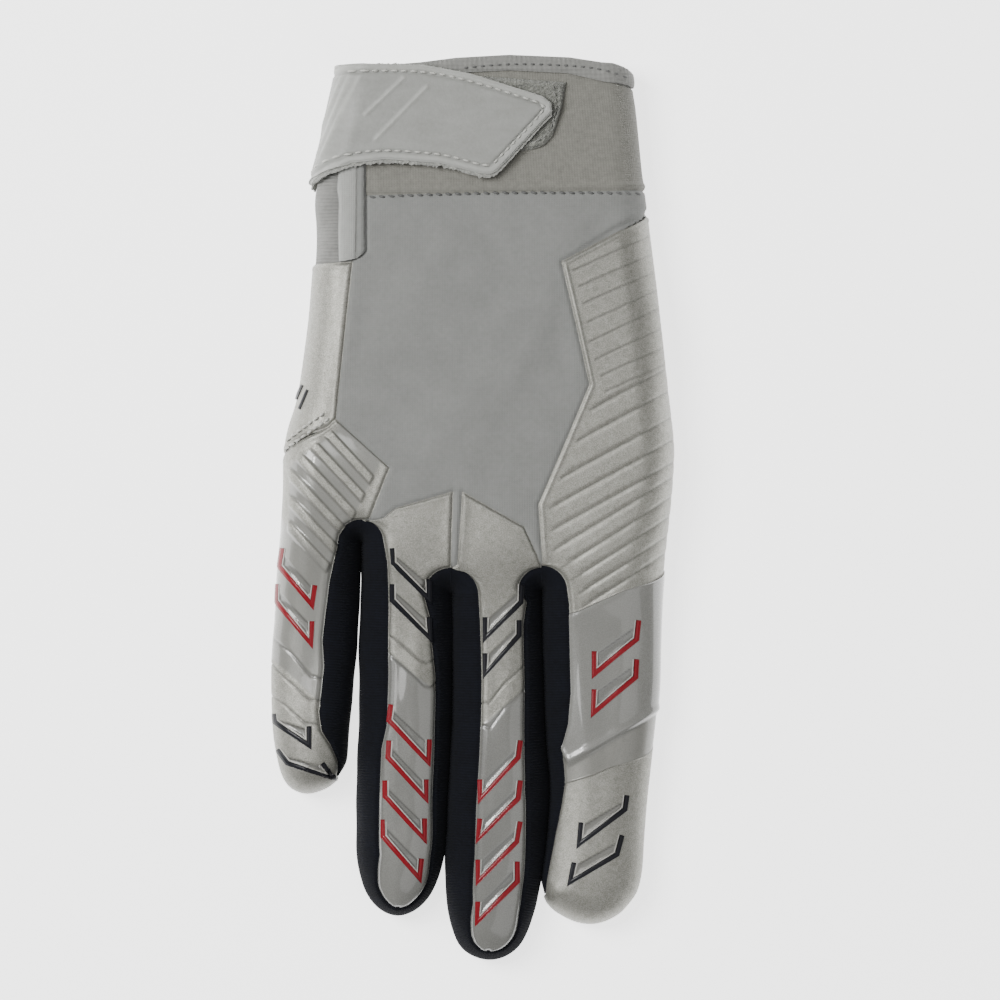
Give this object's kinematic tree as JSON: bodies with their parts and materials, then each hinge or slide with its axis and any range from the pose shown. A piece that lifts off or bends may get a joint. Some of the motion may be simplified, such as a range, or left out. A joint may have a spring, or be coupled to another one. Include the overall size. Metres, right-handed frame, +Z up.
{
  "type": "football receiver glove",
  "caption": "Right-hand football receiver glove of grey stretch knit, satin and gloss overlays, navy side walls, folded thumb and wrist strap.",
  "frame": {"origin": "centre of the glove's outline in plan, at the floor it lies on", "axes": "+X across the hand towards the index side, +Y from the fingertips to the cuff, +Z up out of the back of the hand"},
  "size_m": [0.1009, 0.23, 0.0183],
  "materials": {
    "stretch_knit": "smooth four-way stretch knit",
    "satin_film": "satin speckled silver print on knit",
    "gloss_film": "glossy light-grey film on knit",
    "navy_knit": "fine rib knit",
    "palm_grip": "tacky coated palm fabric",
    "cuff_knit": "brushed stretch knit",
    "edge_tape": "folded edge tape",
    "loop_pile": "brushed loop pile",
    "strap_synthetic": "brushed-silver synthetic leather"
  },
  "bodies": {
    "root": {"back_panel": "stretch_knit", "ring_finger_back": "satin_film", "middle_finger_back": "satin_film", "pinky_back_panel": "satin_film", "ulnar_side_panel": "satin_film", "index_side_panel": "satin_film", "index_finger_back": "gloss_film", "index_fingertip": "satin_film", "pinky_fourchette": "navy_knit", "ring_fourchette": "navy_knit", "middle_fourchette": "navy_knit", "index_fourchette": "navy_knit", "palm_panel": "palm_grip", "thumb_front": "palm_grip", "thumb_back": "satin_film", "cuff_band": "cuff_knit", "cuff_binding": "cuff_knit", "vent_gusset": "cuff_knit", "vent_binding": "edge_tape", "vent_piping": "stretch_knit", "loop_patch": "loop_pile", "wrist_strap": "strap_synthetic"}
  },
  "joints": []
}
